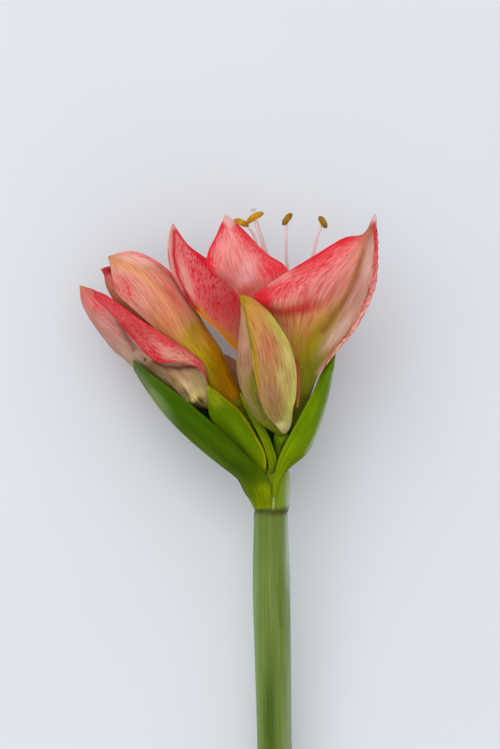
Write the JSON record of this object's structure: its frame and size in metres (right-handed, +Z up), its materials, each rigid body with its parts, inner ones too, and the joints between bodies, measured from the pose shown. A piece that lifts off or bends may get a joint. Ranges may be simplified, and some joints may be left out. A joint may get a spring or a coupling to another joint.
{
  "type": "amaryllis flower",
  "caption": "Cut amaryllis lying on its back: a thick stem with spathe leaves, a wide open bloom, a half open bloom and pointed buds, with long threads and anthers.",
  "frame": {"origin": "centre of the bounding box's bottom, on the surface that the flower lies on", "axes": "+Y along the stem from its cut end toward the blooms, +X across the stem, +Z up from the surface"},
  "size_m": [0.1622, 0.4147, 0.1015],
  "materials": {
    "stem_skin": "satin",
    "spathe_leaf": "satin",
    "bract_leaf": "satin",
    "flower_stalk_skin": "satin",
    "petal": "satin",
    "bud_petal": "satin",
    "filament": "satin",
    "style": "satin",
    "anther": "matte"
  },
  "bodies": {
    "root": {"stem": "stem_skin", "spathe_left": "spathe_leaf", "spathe_right": "spathe_leaf", "bract_broad": "bract_leaf", "bract_narrow": "bract_leaf", "bract_rear": "bract_leaf", "flower_stalk_right": "flower_stalk_skin", "flower_stalk_left": "flower_stalk_skin", "flower_stalk_front_bud": "flower_stalk_skin", "flower_stalk_rear_bud": "flower_stalk_skin", "bloom_right": "petal", "bloom_left": "petal", "bud_front": "bud_petal", "bud_rear": "bud_petal", "threads_right": "filament", "threads_left": "filament", "style_right": "style", "style_left": "style", "anther_right_1": "anther", "anther_right_2": "anther", "anther_right_3": "anther", "anther_right_4": "anther", "anther_right_5": "anther", "anther_right_6": "anther", "anther_left_1": "anther", "anther_left_2": "anther", "anther_left_3": "anther", "anther_left_4": "anther", "anther_left_5": "anther", "anther_left_6": "anther"}
  },
  "joints": []
}
